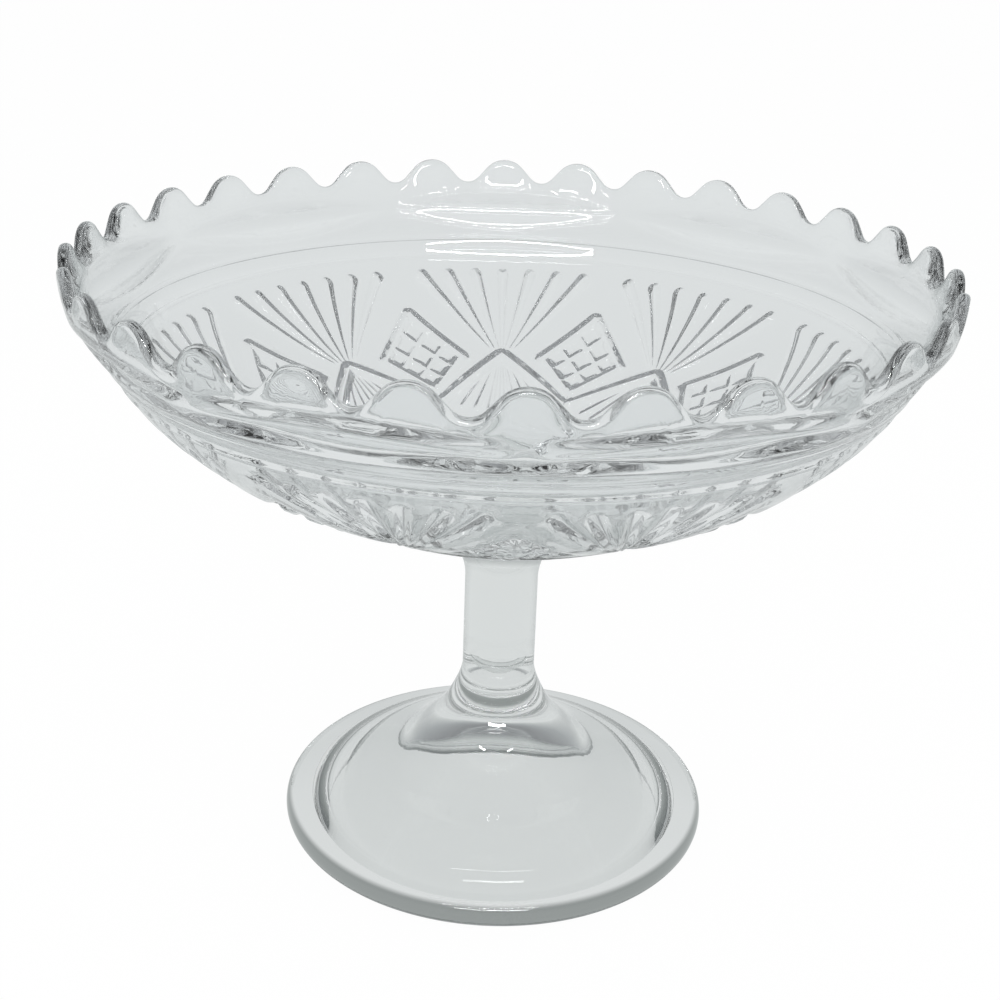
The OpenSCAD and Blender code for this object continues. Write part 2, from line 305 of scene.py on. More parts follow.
def softly_less(a, b, width):
    """The lesser of two numbers, with the corner between them rounded over a width."""
    h = np.clip(1 - np.abs(a - b) / width, 0, 1)
    return np.minimum(a, b) - h * h * width / 4


def points_at(r, a, z):
    return np.stack([r * np.sin(a), r * np.cos(a), z + 0 * a], -1)


def spaced(low, high, count):
    return [low + (high - low) * i / count for i in range(count + 1)]


def beside(a, b, width):
    """A step of this width to the left of the way from a to b."""
    way = (b - a) / np.hypot(*(b - a))
    return np.array([-way[1], way[0]]) * width


class BowlForm:
    """Every surface of the bowl in millimetres, with a panel's middle at angle 0."""

    def __init__(self, sizes):
        self.rim = sizes.rim_width / MM / 2
        self.low = BOWL_LOW.z / MM
        self.high = BOWL_HIGH.z / MM
        self.flat = sizes.flat_width / MM / 2
        self.half = math.pi / sizes.panels
        self.rim_wall = sizes.rim_wall / MM
        self.side_wall = sizes.side_wall / MM
        self.floor_wall = sizes.floor_wall / MM
        self.round = sizes.edge_round / MM
        self.panel_round = sizes.panel_round / MM
        self.spread = math.tan(sizes.cut_half_angle)
        self.line_out, self.line_w = sizes.line_out / MM, sizes.line_width / MM
        self.sizes = sizes
        h = self.high - self.low
        side = [(self.flat, self.low)] + [(a * self.rim, self.low + b * h) for a, b in SIDE_SHARES]
        self.s, self.r, self.z = smooth_through(side)
        self.nr, self.nz = np.gradient(self.z, self.s), -np.gradient(self.r, self.s)
        size = np.hypot(self.nr, self.nz)
        self.nr, self.nz = self.nr / size, self.nz / size
        self.si, self.ri, self.zi = smooth_through(self.wall_line(side))
        low, high = (side[i][1] for i in LINE_STRETCH)
        self.lines = [self.s_at_z(low + share * (high - low)) for share in LINE_PLACES]
        self.line, self.line_in = self.panel_lines()
        self.cuts = self.pattern()

    def wall_line(self, side):
        """Points of the inside of the glass, from the middle of the floor to the rim."""
        wall = []
        last = len(side) - 1
        for i, p in enumerate(side):
            q = np.array(side[min(i + 1, last)]) - np.array(side[max(i - 1, 0)])
            q = q / np.hypot(*q)
            t = self.floor_wall if i == 0 else self.side_wall
            if i >= last - THINNING:
                t += (self.rim_wall - self.side_wall) * min(1, (i - last + THINNING + 1) / THINNING)
            wall.append((p[0] - q[1] * t, p[1] + q[0] * t))
        wall[0] = (0.0, self.low + self.floor_wall)
        wall[-1] = (self.rim - self.rim_wall, self.high)
        return wall

    def panel_lines(self):
        """The middle lines of a flat panel, outside and inside the glass."""
        line = []
        for up, share in PANEL_LINE:
            z = self.low + up * (self.high - self.low)
            r = float(np.interp(z, self.z, self.r))
            line.append(np.array([r - share * self.sizes.panel_sink / MM, z]))
        t = (self.side_wall + self.rim_wall) / 2
        inner = [line[0] + beside(line[0], line[1], t), line[1] + beside(line[0], line[2], t),
                 line[2] + beside(line[1], line[2], t)]
        return self.run_on(line), self.run_on(inner)

    def run_on(self, line):
        """The middle line of a panel, run on outwards past both of its ends."""
        low, high = line[0] + np.array(RUN_BELOW), line[2] + (line[2] - line[1]) * RUN_ABOVE
        return np.array([low, *line, high]).T

    def flatten(self, a, r, z, line):
        """Radius r brought in to the flat panels with this middle line."""
        a = np.abs((a + self.half) % (2 * self.half) - self.half)
        return softly_less(r, np.interp(z, line[1], line[0]) / np.cos(a), self.panel_round)

    def out_at(self, a, z):
        """Points of the outside at angles a and heights z."""
        return self.outside(a, np.interp(z, self.z, self.s), cut=False)

    def in_at(self, a, z):
        """Points of the inside at angles a and heights z."""
        return self.inside(a, np.interp(z, self.zi, self.si))

    def s_at_z(self, z):
        return float(np.interp(z, self.z, self.s))

    def s_at_r(self, r):
        return float(np.interp(r, self.r, self.s))

    def pattern(self):
        """The straight cuts of half a panel on the unrolled side: ends, then depths at the ends."""
        g = self.sizes
        rim, half = self.rim, self.half

        def cut(ra, aa, rb, ab, da, db):
            return (aa * ra, self.s_at_r(ra), ab * rb, self.s_at_r(rb), da / MM, db / MM)

        cuts = []
        for k in range(RAYS):
            turn = k * RAY_STEP
            cuts.append(cut(RAY_START * rim, turn * HUB_SPREAD, RAY_END * rim, turn,
                            g.ray_depth * HUB_DEPTH, g.ray_depth))
        for k in range(RAYS):
            turn = k * FINE_STEP
            cuts.append(cut(FINE_START * rim, turn * HUB_SPREAD, (FINE_END + k * FINE_RISE) * rim, turn,
                            g.fine_depth * HUB_DEPTH, g.fine_depth))
        cuts.append(cut(HUB * rim, 0, MITRE_END * rim, half, g.mitre_depth, g.mitre_depth))
        wide = DIAMOND_HALF * 2 * half
        top, low = np.array([DIAMOND_TOP * rim, half]), np.array([DIAMOND_LOW * rim, half])
        near, far = np.array([DIAMOND_SIDE * rim, half - wide]), np.array([DIAMOND_SIDE * rim, half + wide])
        for i in range(DIAMOND_ROWS + 1):
            f = i / DIAMOND_ROWS
            deep = g.frame_depth if i in (0, DIAMOND_ROWS) else g.nail_depth
            for p, q in ((near + (low - near) * f, top + (far - top) * f),
                         (near + (top - near) * f, low + (far - low) * f)):
                cuts.append(cut(p[0], p[1], q[0], q[1], deep, deep))
        return cuts

    def depth(self, a, s):
        """How deep the cuts reach below the side at angle a and distance s."""
        r = np.interp(s, self.s, self.r)
        best = np.full(np.shape(a), -np.inf)
        for angle in (a, -a, 2 * self.half - a):
            x = angle * r
            for ax, ay, bx, by, da, db in self.cuts:
                dx, dy = bx - ax, by - ay
                t = np.clip(((x - ax) * dx + (s - ay) * dy) / (dx * dx + dy * dy), 0, 1)
                d = np.hypot(x - ax - t * dx, s - ay - t * dy)
                rise = (np.sqrt(d * d + self.round ** 2) - self.round) / self.spread
                best = np.maximum(best, da + (db - da) * t - rise)
        return 0.5 * (best + np.sqrt(best * best + (UPPER_ROUND * self.round) ** 2))

    def outside(self, a, s, cut=True):
        r, z = np.interp(s, self.s, self.r), np.interp(s, self.s, self.z)
        nr, nz = np.interp(s, self.s, self.nr), np.interp(s, self.s, self.nz)
        d = 0 * a
        for line in self.lines:
            d = d + self.line_out * bump((s - line) / (self.line_w / 2))
        if cut:
            d = d - self.depth(a, s)
        r, z = r + nr * d, z + nz * d
        return points_at(self.flatten(a, r, z, self.line), a, z)

    def inside(self, a, s):
        r, z = np.interp(s, self.si, self.ri), np.interp(s, self.si, self.zi)
        return points_at(self.flatten(a, r, z, self.line_in), a, z)

    def scallop(self, lobe_arc=6, flank=2, valley_arc=4):
        """Angles, heights and edge directions of the rim's curve over a sixth of it, between lobe tips."""
        g = self.sizes
        slope, valley, deep = g.scallop_slope, g.valley_radius / MM, g.scallop / MM
        pitch = math.pi * self.rim / g.lobes
        total = (pitch - deep / math.tan(slope)) / (math.sin(slope) - (1 - math.cos(slope)) / math.tan(slope))
        lobe = total - valley
        fall = []
        for f in spaced(0, slope, lobe_arc):
            fall.append((lobe * math.sin(f), self.high - lobe * (1 - math.cos(f)), math.sin(f), math.cos(f)))
        low = []
        for f in reversed(spaced(0, slope, valley_arc)):
            low.append((pitch - valley * math.sin(f), self.high - deep + valley * (1 - math.cos(f)),
                        math.sin(f), math.cos(f)))
        a, b = fall[-1], low[0]
        for i in range(1, flank):
            fall.append(tuple(a[k] + (b[k] - a[k]) * i / flank for k in range(4)))
        fall = np.array(fall + low)
        fall[:, 0] /= self.rim
        step = pitch / self.rim
        rise = fall[::-1].copy()
        rise[:, 0] = 2 * step - rise[:, 0]
        rise[:, 2] *= -1
        halves = []
        for k in range(g.lobes // 6):
            for half in (fall, rise):
                half = half.copy()
                half[:, 0] += 2 * step * k
                halves.append(half if not halves else half[1:])
        return np.concatenate(halves)


class PatternNet:
    """Points and edges in millimetres on half an unrolled panel, from which its triangles are made."""

    def __init__(self, form, s_low, s_high):
        self.form, self.low, self.high = form, s_low, s_high
        self.verts, self.edges = [], []

    def radius(self, s):
        return np.interp(s, self.form.s, self.form.r)

    def wide(self, s):
        return self.form.half * self.radius(s)

    def holds(self, x, y, room):
        """Whether a point lies on the half panel, with this room to its side edges."""
        return room < x < self.wide(y) - room and self.low + END_ROOM < y < self.high - END_ROOM

    def chain(self, points):
        first = len(self.verts)
        self.verts.extend(points)
        self.edges.extend((i, i + 1) for i in range(first, len(self.verts) - 1))

    def border(self, angles):
        for s in (self.low, self.high):
            self.chain([(a * self.radius(s), s) for a in angles])
        side = spaced(self.low, self.high, SIDE_STEPS)
        self.chain([(0.0, s) for s in side])
        self.chain([(self.wide(s), s) for s in side])

    def run(self, points):
        """Chains of the points that lie on the half panel, broken where they leave it."""
        kept = []
        for x, y in points:
            if self.holds(x, y, SIDE_ROOM):
                kept.append((x, y))
                continue
            if len(kept) > 1:
                self.chain(kept)
            kept = []
        if len(kept) > 1:
            self.chain(kept)

    def along_cut(self, ax, ay, bx, by, da, db):
        """Rows on both sides of a cut and round its two ends."""
        spread = self.form.spread
        length = math.hypot(bx - ax, by - ay)
        ux, uy = (bx - ax) / length, (by - ay) / length
        steps = max(3, round(length / CUT_STEP))
        rows = WIDE_ROWS if max(da, db) * spread > WIDE_CUT else NARROW_ROWS
        for share, extra in rows:
            middle = not (share or extra)
            for sign in (1,) if middle else (1, -1):
                points = []
                for i in range(steps + 1):
                    t = i / steps
                    w = 0 if middle else sign * max(LEAST_ROW, share * (da + (db - da) * t) * spread + extra)
                    points.append((ax + (bx - ax) * t - uy * w, ay + (by - ay) * t + ux * w))
                self.run(points)
        for ex, ey, deep, turn in ((ax, ay, da, -1), (bx, by, db, 1)):
            for extra in TIP_ROWS:
                w = deep * spread + extra
                for i in range(1, TIP_STEPS):
                    f = math.pi * i / TIP_STEPS
                    x = ex + turn * w * (ux * math.sin(f)) - uy * w * math.cos(f)
                    y = ey + turn * w * (uy * math.sin(f)) + ux * w * math.cos(f)
                    if self.holds(x, y, TIP_ROOM):
                        self.verts.append((x, y))

    def fill(self):
        """Loose points in the gaps, in rows that are set off by half a step."""
        near = np.array(self.verts)
        y = self.low + NET_FIRST[1]
        odd = 0
        while y < self.high - NET_LAST[1]:
            x = NET_FIRST[0] + NET_WIDE / 2 * odd
            while x < self.wide(y) - NET_LAST[0]:
                if np.min(np.hypot(near[:, 0] - x, near[:, 1] - y)) > NET_ROOM:
                    self.verts.append((x, y))
                x += NET_WIDE
            y += NET_HIGH
            odd = 1 - odd

    def triangles(self):
        """Angles, distances up the side, and the faces between them."""
        verts = [Vector(v) for v in self.verts]
        out, _, faces, _, _, _ = delaunay_2d_cdt(verts, self.edges, [], 0, NET_WELD, False)
        points = np.array([tuple(v) for v in out])
        keep = []
        for f in faces:
            x, y = points[list(f)].mean(0)
            if 0 < x < self.wide(y) and self.low < y < self.high:
                keep.append(tuple(f))
        a, half = points[:, 0] / self.radius(points[:, 1]), self.form.half
        a = np.where(np.abs(a) < SAME_ANGLE, 0, np.where(np.abs(a - half) < SAME_ANGLE, half, a))
        return a, points[:, 1], keep


def pattern_mesh(form, angles, s_low, s_high):
    """Triangles over half a panel between two distances up the side, laid along every cut."""
    net = PatternNet(form, s_low, s_high)
    net.border(angles)
    for cut in form.cuts:
        net.along_cut(*cut)
    net.fill()
    return net.triangles()


class Patch:
    """Points in millimetres, faces and material numbers that are gathered row by row."""

    def __init__(self):
        self.points, self.faces, self.mats = [], [], []

    def add(self, points, faces, mat=0):
        start = len(self.points)
        self.points.extend(map(tuple, points))
        self.faces.extend(tuple(start + i for i in f) for f in faces)
        self.mats.extend([mat] * len(faces))

    def grid(self, rows, mat=0):
        """Quads between neighbouring rows of equal length."""
        n = len(rows[0])
        firsts = [i * n + j for i in range(len(rows) - 1) for j in range(n - 1)]
        self.add([p for row in rows for p in row], [(a + n, a + n + 1, a + 1, a) for a in firsts], mat)

    def narrow(self, wide, few):
        """Joins a row to one with a third of its steps."""
        n = len(wide)
        faces = []
        for k in range(len(few) - 1):
            a, b, c, d = (3 * k + i for i in range(4))
            faces += [(b, a, n + k), (c, b, n + k, n + k + 1), (d, c, n + k + 1)]
        self.add([*wide, *few], faces)

    def mirrored(self):
        n = len(self.points)
        points = self.points + [(-x, y, z) for x, y, z in self.points]
        faces = self.faces + [tuple(n + i for i in reversed(f)) for f in self.faces]
        return points, faces, self.mats + self.mats


def panel_patch(form):
    """Half a panel of the pattern, from the joint under the bowl up to the first raised line."""
    patch = Patch()
    angles = np.linspace(0, form.half, round(math.degrees(form.half) * STEPS_PER_DEGREE) + 1)
    s_low, s_high = form.s_at_r(PATTERN_LOW * form.rim), form.lines[0] - form.line_w * PATTERN_HIGH
    a, s, faces = pattern_mesh(form, angles, s_low, s_high)
    patch.add(form.outside(a, s), faces)
    collar = COLLAR_HIGH.x / MM
    patch.grid([points_at(r, angles, form.low) for r in (0, collar)], 1)
    rows = [points_at(r, angles, form.low) for r in (collar, (collar + form.flat) / 2)]
    patch.grid(rows + [form.outside(angles, 0 * angles + s) for s in spaced(0, s_low, FLAT_STEPS)])
    return patch


def rim_patch(form):
    """A sixth of the bowl above the pattern: raised lines, flat panels, scalloped lip and all the inside."""
    patch = Patch()
    curve = form.scallop()
    even = np.linspace(0, math.pi / 3, len(curve))
    tuned, top, across, upright = curve.T
    deep = form.sizes.scallop / MM
    low_z = form.high - deep - OUTER_DROP
    rows = [form.outside(even, 0 * even + form.lines[0] - form.line_w * PATTERN_HIGH)]
    for line in form.lines:
        rows += [form.outside(even, 0 * even + line + form.line_w * k) for k in LINE_ROWS]
    start, ring = form.lines[1] + form.line_w * LINE_ROWS[-1], form.s_at_z(low_z)
    for t in spaced(0, 1, RING_STEPS)[1:]:
        a = even + (tuned - even) * soft_step(t)
        rows.append(form.outside(a, 0 * even + start + (ring - start) * t, cut=False))

    def towards_lip(t, v, low_z):
        """Angles and heights at a share t of the way from a level row up to the row v below the edge."""
        return tuned - across * v / form.rim * soft_step(t), low_z + (top - upright * v - low_z) * t

    rows += [form.out_at(*towards_lip(t, LIP[0][1], low_z)) for t in spaced(0, 1, RISE_STEPS)[1:-1]]
    for w, v in LIP:
        a, z = tuned - across * v / form.rim, top - upright * v
        out = form.out_at(a, z)
        rows.append(out + (form.in_at(a, z) - out) * w)
    low_z = form.high - deep - v - INNER_DROP
    rows += [form.in_at(*towards_lip(t, v, low_z)) for t in spaced(1, 0, DROP_STEPS)[1:]]
    start = float(np.interp(low_z, form.zi, form.si))
    end = float(np.interp(form.line_in[1][1] - FINE_DROP, form.zi, form.si))
    for t in spaced(0, 1, BACK_STEPS)[1:]:
        rows.append(form.inside(tuned + (even - tuned) * soft_step(t), 0 * even + start + (end - start) * t))
    patch.grid(rows)
    few = even[::3]
    rows = [form.inside(few, 0 * few + s) for s in spaced(end - COARSE_DROP, 0, FLOOR_STEPS)]
    patch.narrow(form.inside(even, 0 * even + end), rows[0])
    patch.grid(rows)
    return patch


def mend(bm, sliver):
    """Merges doubles, drops flat slivers and loose edges, turns faces outwards and shades them smooth."""
    bmesh.ops.remove_doubles(bm, verts=bm.verts, dist=WELD)
    bmesh.ops.dissolve_degenerate(bm, dist=sliver, edges=bm.edges)
    bmesh.ops.delete(bm, geom=[e for e in bm.edges if not e.link_faces], context="EDGES")
    bmesh.ops.recalc_face_normals(bm, faces=bm.faces)
    for f in bm.faces:
        f.smooth = True


def clean_mesh(name, points, faces, mats, materials):
    """A mended mesh in metres from points in millimetres."""
    mesh = bpy.data.meshes.new(name)
    mesh.from_pydata([tuple(c * MM for c in p) for p in points], [], faces)
    for m in materials:
        mesh.materials.append(m)
    mesh.polygons.foreach_set("material_index", mats)
    bm = bmesh.new()
    bm.from_mesh(mesh)
    mend(bm, WELD / 2)
    bm.to_mesh(mesh)
    bm.free()
    return mesh


def new_object(name, mesh):
    obj = bpy.data.objects.new(name, mesh)
    bpy.context.scene.collection.objects.link(obj)
    return obj


def add_node(tree, kind, values=None, **settings):
    """A new node in a tree, with its settings and the values of its own sockets."""
    node = tree.nodes.new(kind)
    for name, value in settings.items():
        setattr(node, name, value)
    for socket, value in (values or {}).items():
        node.inputs[socket].default_value = value
    return node


def connect(tree, *wires):
    """Makes links in a tree, each given as node, output, node and input."""
    for source, out, target, into in wires:
        tree.links.new(source.outputs[out], target.inputs[into])


def add_sockets(tree, in_out, *sockets):
    """Gives a node group its sockets, each as a name, a kind and, for a number, its value."""
    for name, kind, *value in sockets:
        socket = tree.interface.new_socket(name, in_out=in_out, socket_type="NodeSocket" + kind)
        if value:
            socket.default_value = value[0]


def round_tree():
    """A node tree that repeats a piece round the upright axis and joins the copies."""
    tree = bpy.data.node_groups.new("Round the bowl", "GeometryNodeTree")
    add_sockets(
        tree, "INPUT", ("Geometry", "Geometry"), ("Copies", "Int", 9), ("Weld distance", "Float", WELD),
        ("Glass", "Material"), ("Joint", "Material"))
    add_sockets(tree, "OUTPUT", ("Geometry", "Geometry"))
    start, end = add_node(tree, "NodeGroupInput"), add_node(tree, "NodeGroupOutput")
    line = add_node(tree, "GeometryNodeMeshLine", {"Offset": (0, 0, 0)})
    copies = add_node(tree, "GeometryNodeInstanceOnPoints")
    index = add_node(tree, "GeometryNodeInputIndex")
    step = add_node(tree, "ShaderNodeMath", {0: 2 * math.pi}, operation="DIVIDE")
    way = add_node(tree, "ShaderNodeMath", operation="MULTIPLY")
    turn = add_node(tree, "ShaderNodeCombineXYZ")
    real = add_node(tree, "GeometryNodeRealizeInstances")
    weld = add_node(tree, "GeometryNodeMergeByDistance")
    is_joint = add_node(tree, "GeometryNodeInputMaterialIndex")
    paint = add_node(tree, "GeometryNodeSetMaterial")
    paint_joint = add_node(tree, "GeometryNodeSetMaterial")
    above = add_node(tree, "FunctionNodeCompare", data_type="INT", operation="GREATER_THAN")
    label = {"Name": "joint_face"}
    keep = add_node(tree, "GeometryNodeStoreNamedAttribute", label, data_type="BOOLEAN", domain="FACE")
    read = add_node(tree, "GeometryNodeInputNamedAttribute", label, data_type="BOOLEAN")
    connect(
        tree, (start, "Copies", line, "Count"), (start, "Copies", step, 1), (index, 0, way, 0),
        (step, 0, way, 1), (way, 0, turn, "Z"), (start, "Geometry", keep, "Geometry"),
        (is_joint, 0, above, 2), (above, 0, keep, "Value"), (line, 0, copies, "Points"),
        (keep, 0, copies, "Instance"), (turn, 0, copies, "Rotation"), (copies, 0, real, 0),
        (real, 0, weld, "Geometry"), (start, "Weld distance", weld, "Distance"), (weld, 0, paint, "Geometry"),
        (start, "Glass", paint, "Material"), (paint, 0, paint_joint, "Geometry"),
        (read, 0, paint_joint, "Selection"), (start, "Joint", paint_joint, "Material"),
        (paint_joint, 0, end, 0))
    return tree


def run_tree(obj, tree, values):
    """Runs a node tree on an object and turns the result into a plain mesh."""
    mod = obj.modifiers.new("Repeat", "NODES")
    mod.node_group = tree
    for item in tree.interface.items_tree:
        if item.item_type == "SOCKET" and item.in_out == "INPUT" and item.name in values:
            mod[item.identifier] = values[item.name]
    bpy.context.view_layer.update()
    done = bpy.data.meshes.new_from_object(obj.evaluated_get(bpy.context.evaluated_depsgraph_get()))
    obj.modifiers.clear()
    old = obj.data
    obj.data = done
    bpy.data.meshes.remove(old)
    return obj


def joined(first, second):
    """Puts the mesh of the second object into the first."""
    bm = bmesh.new()
    bm.from_mesh(first.data)
    bm.from_mesh(second.data)
    bm.to_mesh(first.data)
    bm.free()
    old = second.data
    bpy.data.objects.remove(second)
    bpy.data.meshes.remove(old)
    return first


def finish_shell(obj):
    """Mends a whole glass piece, keeps its strongest bends sharp and prints its faces and open edges."""
    bm = bmesh.new()
    bm.from_mesh(obj.data)
    mend(bm, WELD / 5)
    open_edges = sum(1 for e in bm.edges if len(e.link_faces) != 2)
    for e in bm.edges:
        if len(e.link_faces) == 2 and e.calc_face_angle(0) > SHARP:
            e.smooth = False
    bm.to_mesh(obj.data)
    bm.free()
    print(f"{obj.name}: {len(obj.data.polygons)} faces, {open_edges} open edges")
    return obj


def turned(name, outline, joints, glass, joint, count=STEM_ROUND):
    """A turned piece from its outline in millimetres. joints names the stretches that meet another piece."""
    points, faces, mats = [], [], []
    n = len(outline)
    ring = [2 * math.pi * k / count for k in range(count)]
    for r, z in outline:
        points += [(r * math.cos(a), r * math.sin(a), z) for a in ring]
    for i in range(n - 1):
        for k in range(count):
            k2 = (k + 1) % count
            a, b = i * count + k, i * count + k2
            faces.append((a, b, b + count, a + count))
            mats.append(1 if i in joints else 0)
    obj = new_object(name, clean_mesh(name, points, faces, mats, [glass, joint]))
    return finish_shell(obj)


def dense(points, count, close=END_STEPS):
    """A smooth line through points as a chain of short steps, with extra points close to its ends."""
    s, r, z = smooth_through(points)
    places = sorted([*np.linspace(0, s[-1], count + 1), *close, *(s[-1] - t for t in END_STEPS)])
    return [(float(np.interp(t, s, r)), float(np.interp(t, s, z))) for t in places]


def ripple_group():
    """Faint waves and haze that pressing leaves on glass, put out as a height and a roughness."""
    tree = bpy.data.node_groups.new("Pressed ripple", "ShaderNodeTree")
    add_sockets(
        tree, "INPUT", ("Wave size", "Float", 60), ("Wave share", "Float", 0.7), ("Haze", "Float", 0.02))
    add_sockets(tree, "OUTPUT", ("Height", "Float"), ("Roughness", "Float"))
    start, end = add_node(tree, "NodeGroupInput"), add_node(tree, "NodeGroupOutput")
    place = add_node(tree, "ShaderNodeTexCoord")
    broad = add_node(tree, "ShaderNodeTexNoise", {"Detail": 1.5})
    fine = add_node(tree, "ShaderNodeTexNoise", {"Scale": 260, "Detail": 2})
    blend = add_node(tree, "ShaderNodeMix", data_type="FLOAT")
    haze = add_node(tree, "ShaderNodeMath", operation="MULTIPLY")
    connect(
        tree, (place, "Object", broad, "Vector"), (place, "Object", fine, "Vector"),
        (start, "Wave size", broad, "Scale"), (start, "Wave share", blend, "Factor"), (fine, "Fac", blend, 2),
        (broad, "Fac", blend, 3), (blend, 0, end, "Height"), (fine, "Fac", haze, 0), (start, "Haze", haze, 1),
        (haze, 0, end, "Roughness"))
    return tree


def empty_tree(owner):
    """The node tree of a new material or world, without the nodes that it starts with."""
    owner.use_nodes = True
    owner.node_tree.nodes.clear()
    return owner.node_tree


def mixed(tree, share, first, second):
    """A mix of two shaders. The share of the second is a number or the output of a node."""
    mix = add_node(tree, "ShaderNodeMixShader")
    if isinstance(share, float):
        mix.inputs[0].default_value = share
    else:
        tree.links.new(share, mix.inputs[0])
    connect(tree, (first, 0, mix, 1), (second, 0, mix, 2))
    return mix


def glass_material(name, look, tint, group, wave_size, haze, wave_height, edge=False):
    """Clear glass with painted shade: darker where it is seen at a slant and, with edge set, at the round
    edge of the foot.
    """
    tree = empty_tree(bpy.data.materials.new(name))
    out = add_node(tree, "ShaderNodeOutputMaterial")
    glass = add_node(tree, "ShaderNodeBsdfPrincipled")
    # Painted shade: the glass's colour darkens towards a slanting view, partly for the longer way through the
    # glass, partly for the dark surroundings it bends in
    slant = add_node(tree, "ShaderNodeLayerWeight", {"Blend": 0.5})
    limits = {"From Min": SLANT_SHADE_START, "From Max": SLANT_SHADE_FULL}
    reach = add_node(tree, "ShaderNodeMapRange", limits, interpolation_type="SMOOTHSTEP")
    colours = {6: (*tint, 1), 7: (*look.slant_shade, 1)}
    through = add_node(tree, "ShaderNodeMix", colours, data_type="RGBA")
    connect(tree, (slant, "Facing", reach, "Value"), (reach, 0, through, 0))
    # Painted shade: the glass's colour turns dark near the foot's widest line, partly for the long way
    # through the glass, partly for the shadowed table the round edge bends in
    if edge:
        place = add_node(tree, "ShaderNodeTexCoord")
        flat = add_node(tree, "ShaderNodeVectorMath", {1: (1, 1, 0)}, operation="MULTIPLY")
        away = add_node(tree, "ShaderNodeVectorMath", operation="LENGTH")
        limits = {"From Min": FOOT_HIGH.x - EDGE_SHADE_START, "From Max": FOOT_HIGH.x - EDGE_SHADE_FULL}
        near = add_node(tree, "ShaderNodeMapRange", limits, interpolation_type="SMOOTHSTEP")
        deep = add_node(tree, "ShaderNodeMix", {7: (*look.edge_shade, 1)}, data_type="RGBA")
        connect(
            tree, (place, "Object", flat, 0), (flat, 0, away, 0), (away, "Value", near, "Value"),
            (near, 0, deep, 0), (through, 2, deep, 6))
        through = deep
    glass.inputs["Metallic"].default_value = 0
    glass.inputs["IOR"].default_value = look.bend
    glass.inputs["Transmission Weight"].default_value = 1
    surface = add_node(tree, "ShaderNodeGroup", node_tree=group)
    surface.inputs["Wave size"].default_value = wave_size
    surface.inputs["Haze"].default_value = haze
    relief = add_node(tree, "ShaderNodeBump", {"Strength": wave_height, "Distance": RIPPLE_HEIGHT})
    clear = add_node(tree, "ShaderNodeBsdfTransparent", {"Color": (*[c * SHADOW_SHARE for c in tint], 1)})
    path = add_node(tree, "ShaderNodeLightPath")
    seen = mixed(tree, path.outputs["Is Shadow Ray"], glass, clear)
    connect(
        tree, (through, 2, glass, "Base Color"), (surface, "Height", relief, "Height"),
        (relief, 0, glass, "Normal"), (surface, "Roughness", glass, "Roughness"), (seen, 0, out, "Surface"))


def joint_material():
    """The hidden faces where two glass pieces were joined hot, which light passes without bending."""
    tree = empty_tree(bpy.data.materials.new("Hot joint"))
    out = add_node(tree, "ShaderNodeOutputMaterial")
    clear = add_node(tree, "ShaderNodeBsdfTransparent", {"Color": (1, 1, 1, 1)})
    connect(tree, (clear, 0, out, "Surface"))


def get_materials(scene):
    """The glass of the bowl, the glass of the other pieces and the joint, made at the first call."""
    look = scene.glass_look
    if "Bowl glass" not in bpy.data.materials:
        group = ripple_group()
        glass_material("Bowl glass", look, look.tint, group, 55, 0.02, 0.1)
        glass_material("Stem glass", look, look.stem_tint, group, 45, 0.03, 0.12, edge=True)
        joint_material()
    get = bpy.data.materials.get
    return get("Bowl glass"), get("Stem glass"), get("Hot joint")


class MakeBowl(bpy.types.Operator):
    """Makes the bowl from one panel that is repeated round the stem"""
    bl_idname = "glass_bowl.make_bowl"
    bl_label = "Make the bowl"

    def execute(self, context):
        sizes = context.scene.bowl_sizes
        glass, _, joint = get_materials(context.scene)
        form = BowlForm(sizes)
        tree = round_tree()
        parts = []
        patches = ("bowl_glass", panel_patch(form), sizes.panels), ("rim_glass", rim_patch(form), 3)
        for name, patch, copies in patches:
            part = new_object(name, clean_mesh(name, *patch.mirrored(), [glass, joint]))
            values = {"Copies": copies, "Weld distance": WELD, "Glass": glass, "Joint": joint}
            parts.append(run_tree(part, tree, values))
        obj = joined(*parts)
        finish_shell(obj)
        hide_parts("bowl")
        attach(obj, "root")
        return {"FINISHED"}


class MakeCollar(bpy.types.Operator):
    """Makes the flared neck between the stem and the bowl"""
    bl_idname = "glass_bowl.make_collar"
    bl_label = "Make the collar"

    def execute(self, context):
        _, glass, joint = get_materials(context.scene)
        low, high = COLLAR_LOW.z / MM, COLLAR_HIGH.z / MM
        foot = STEM_HIGH.x / MM
        spread = COLLAR_HIGH.x / MM - foot
        flare = []
        for i in range(FLARE_STEPS + 1):
            flare.append((foot + spread * (i / FLARE_STEPS) ** FLARE, low + (high - low) * i / FLARE_STEPS))
        outline = [(0, low)] + flare + [(0, high)]
        obj = turned("collar_glass", outline, (0, len(outline) - 2), glass, joint)
        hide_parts("collar")
        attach(obj, "root")
        return {"FINISHED"}


class MakeStem(bpy.types.Operator):
    """Makes the round stem"""
    bl_idname = "glass_bowl.make_stem"
    bl_label = "Make the stem"

    def execute(self, context):
        _, glass, joint = get_materials(context.scene)
        low, high, r = STEM_LOW.z / MM, STEM_HIGH.z / MM, STEM_HIGH.x / MM
        side = [(r, low + (high - low) * i / STEM_STEPS) for i in range(STEM_STEPS + 1)]
        outline = [(0, low)] + side + [(0, high)]
        obj = turned("stem_glass", outline, (0, len(outline) - 2), glass, joint)
        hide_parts("stem")
        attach(obj, "root")
        return {"FINISHED"}


